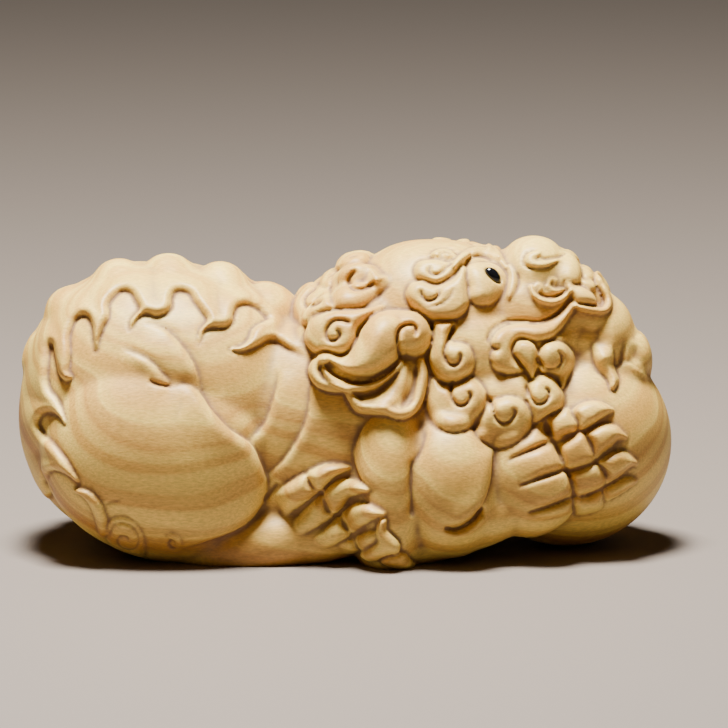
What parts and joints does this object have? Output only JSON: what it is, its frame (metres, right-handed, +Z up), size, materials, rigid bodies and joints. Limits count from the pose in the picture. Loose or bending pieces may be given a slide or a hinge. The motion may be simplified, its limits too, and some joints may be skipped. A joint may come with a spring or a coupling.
{
  "type": "pixiu figure",
  "caption": "Carved boxwood figure of a crouching pixiu with curled mane and ears, hugging a large round ball, with black inlaid eye beads; stands by its own weight.",
  "frame": {"origin": "under the middle of the figure, on the surface that it stands on", "axes": "+X from the rump towards the ball and the face, +Y towards the figure's left side, +Z up"},
  "size_m": [0.09, 0.0436, 0.0431],
  "materials": {
    "boxwood": "fine satin hand finish, faint growth bands, darker in the recesses",
    "bead": "glossy black glass bead"
  },
  "bodies": {
    "root": {"carved_figure": "boxwood", "right_eye_bead": "bead", "left_eye_bead": "bead"}
  },
  "joints": []
}
